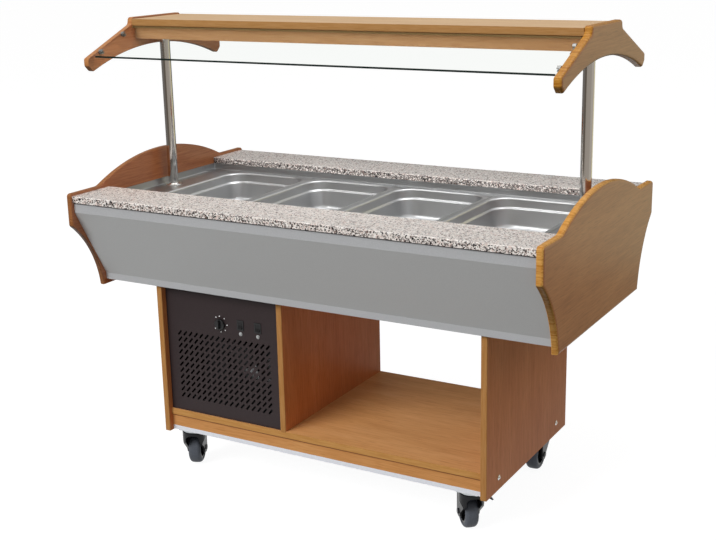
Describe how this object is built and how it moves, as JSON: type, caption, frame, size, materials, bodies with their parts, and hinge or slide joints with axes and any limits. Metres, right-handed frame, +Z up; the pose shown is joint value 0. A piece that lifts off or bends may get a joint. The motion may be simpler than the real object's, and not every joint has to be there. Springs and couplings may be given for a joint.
{
  "type": "refrigerated buffet trolley",
  "caption": "Mobile cold buffet: arched wooden ends, stone serving ledges, chilled well with lift-out pans, sloping glass guard under a canopy, machine bay and storage bay on swivel casters.",
  "frame": {"origin": "on the floor under the middle of the trolley", "axes": "+X along the length, -Y towards the customers' side with the glass guard, +Z up"},
  "size_m": [1.535, 0.898, 1.412],
  "materials": {
    "beech_laminate": "satin",
    "white_board": "satin",
    "granite": "polished",
    "grey_laminate": "satin",
    "grey_trim": "satin",
    "stainless_steel": "satin",
    "galvanised_steel": "satin",
    "foam": "matte",
    "copper": "satin",
    "chrome": "polished",
    "glass": "gloss",
    "white_metal": "satin",
    "opal_plastic": "gloss",
    "brown_black_metal": "satin",
    "black_metal": "satin",
    "aluminium": "satin",
    "black_plastic": "satin",
    "caster_black": "satin",
    "tyre_grey": "matte",
    "zinc_plate": "satin"
  },
  "bodies": {
    "cabinet": {"apron_back": "grey_laminate", "apron_front": "grey_laminate", "apron_trims": "grey_trim", "base_divider": "beech_laminate", "base_shelf": "beech_laminate", "base_side_left": "beech_laminate", "base_side_right": "beech_laminate", "bottom_board": "white_board", "canopy_board": "beech_laminate", "canopy_bracket_left": "beech_laminate", "canopy_bracket_right": "beech_laminate", "canopy_fascias": "beech_laminate", "canopy_posts": "chrome", "caster_plates": "zinc_plate", "compressor": "black_metal", "condenser": "aluminium", "end_panel_left": "beech_laminate", "end_panel_right": "beech_laminate", "evaporator_coil": "copper", "fan_motor": "black_metal", "fan_shroud": "galvanised_steel", "glass_clamps": "chrome", "guard_glass": "glass", "lamp_diffuser": "opal_plastic", "lamp_housing": "white_metal", "pilot_lamps": "opal_plastic", "plinth_rails": "beech_laminate", "refrigerant_pipes": "copper", "switch_housings": "black_plastic", "thermostat": "black_plastic", "unit_back_panel": "brown_black_metal", "unit_front_grille": "brown_black_metal", "unit_tray": "galvanised_steel", "well_casing": "galvanised_steel", "well_insulation": "foam", "well_tub": "stainless_steel", "worktop_back": "granite", "worktop_front": "granite"},
    "pan_1": {"pan_1": "stainless_steel"},
    "pan_2": {"pan_2": "stainless_steel"},
    "pan_3": {"pan_3": "stainless_steel"},
    "pan_4": {"pan_4": "stainless_steel"},
    "fan": {"fan_rotor": "aluminium"},
    "knob": {"thermostat_knob": "black_plastic"},
    "cooling_rocker": {"cooling_rocker": "black_plastic"},
    "lamp_rocker": {"lamp_rocker": "black_plastic"},
    "caster_fl": {"caster_fork_fl": "caster_black"},
    "wheel_fl": {"caster_hub_fl": "caster_black", "caster_tyre_fl": "tyre_grey"},
    "caster_fr": {"caster_fork_fr": "caster_black"},
    "wheel_fr": {"caster_hub_fr": "caster_black", "caster_tyre_fr": "tyre_grey"},
    "lever_fr": {"brake_lever_fr": "caster_black"},
    "caster_bl": {"caster_fork_bl": "caster_black"},
    "wheel_bl": {"caster_hub_bl": "caster_black", "caster_tyre_bl": "tyre_grey"},
    "caster_br": {"caster_fork_br": "caster_black"},
    "wheel_br": {"caster_hub_br": "caster_black", "caster_tyre_br": "tyre_grey"},
    "lever_br": {"brake_lever_br": "caster_black"}
  },
  "joints": [
    {"name": "pan_1_lift", "type": "slide", "parent": "cabinet", "child": "pan_1", "axis": [0, 0, 1], "range_m": [0, 0.2]},
    {"name": "pan_2_lift", "type": "slide", "parent": "cabinet", "child": "pan_2", "axis": [0, 0, 1], "range_m": [0, 0.2]},
    {"name": "pan_3_lift", "type": "slide", "parent": "cabinet", "child": "pan_3", "axis": [0, 0, 1], "range_m": [0, 0.2]},
    {"name": "pan_4_lift", "type": "slide", "parent": "cabinet", "child": "pan_4", "axis": [0, 0, 1], "range_m": [0, 0.2]},
    {"name": "fan_spin", "type": "hinge", "parent": "cabinet", "child": "fan", "pos_m": [-0.275, -0.2, 0.40795], "axis": [0, 1, 0], "continuous": true},
    {"name": "thermostat_turn", "type": "hinge", "parent": "cabinet", "child": "knob", "pos_m": [-0.335, -0.29, 0.5117], "axis": [0, 1, 0], "range_deg": [0, 280]},
    {"name": "cooling_switch_tip", "type": "hinge", "parent": "cabinet", "child": "cooling_rocker", "pos_m": [-0.26, -0.287, 0.5177], "axis": [1, 0, 0], "range_deg": [0, 20]},
    {"name": "lamp_switch_tip", "type": "hinge", "parent": "cabinet", "child": "lamp_rocker", "pos_m": [-0.197, -0.287, 0.5177], "axis": [1, 0, 0], "range_deg": [0, 20]},
    {"name": "swivel_fl", "type": "hinge", "parent": "cabinet", "child": "caster_fl", "pos_m": [-0.489, -0.252, 0.1226], "axis": [0, 0, 1], "continuous": true},
    {"name": "roll_fl", "type": "hinge", "parent": "caster_fl", "child": "wheel_fl", "pos_m": [-0.50202, -0.22277, 0.05], "axis": [0.9135, 0.4067, 0], "continuous": true},
    {"name": "swivel_fr", "type": "hinge", "parent": "cabinet", "child": "caster_fr", "pos_m": [0.489, -0.252, 0.1226], "axis": [0, 0, 1], "continuous": true},
    {"name": "roll_fr", "type": "hinge", "parent": "caster_fr", "child": "wheel_fr", "pos_m": [0.46801, -0.22785, 0.05], "axis": [0.7547, 0.6561, 0], "continuous": true},
    {"name": "brake_fr", "type": "hinge", "parent": "caster_fr", "child": "lever_fr", "pos_m": [0.51164, -0.23232, 0.108], "axis": [-0.6561, 0.7547, 0], "range_deg": [0, 14]},
    {"name": "swivel_bl", "type": "hinge", "parent": "cabinet", "child": "caster_bl", "pos_m": [-0.489, 0.262, 0.1226], "axis": [0, 0, 1], "continuous": true},
    {"name": "roll_bl", "type": "hinge", "parent": "caster_bl", "child": "wheel_bl", "pos_m": [-0.47065, 0.23579, 0.05], "axis": [-0.8192, -0.5736, 0], "continuous": true},
    {"name": "swivel_br", "type": "hinge", "parent": "cabinet", "child": "caster_br", "pos_m": [0.489, 0.262, 0.1226], "axis": [0, 0, 1], "continuous": true},
    {"name": "roll_br", "type": "hinge", "parent": "caster_br", "child": "wheel_br", "pos_m": [0.49067, 0.23004, 0.05], "axis": [-0.9986, -0.0523, 0], "continuous": true},
    {"name": "brake_br", "type": "hinge", "parent": "caster_br", "child": "lever_br", "pos_m": [0.45904, 0.26043, 0.108], "axis": [0.0523, -0.9986, 0], "range_deg": [0, 14]}
  ]
}
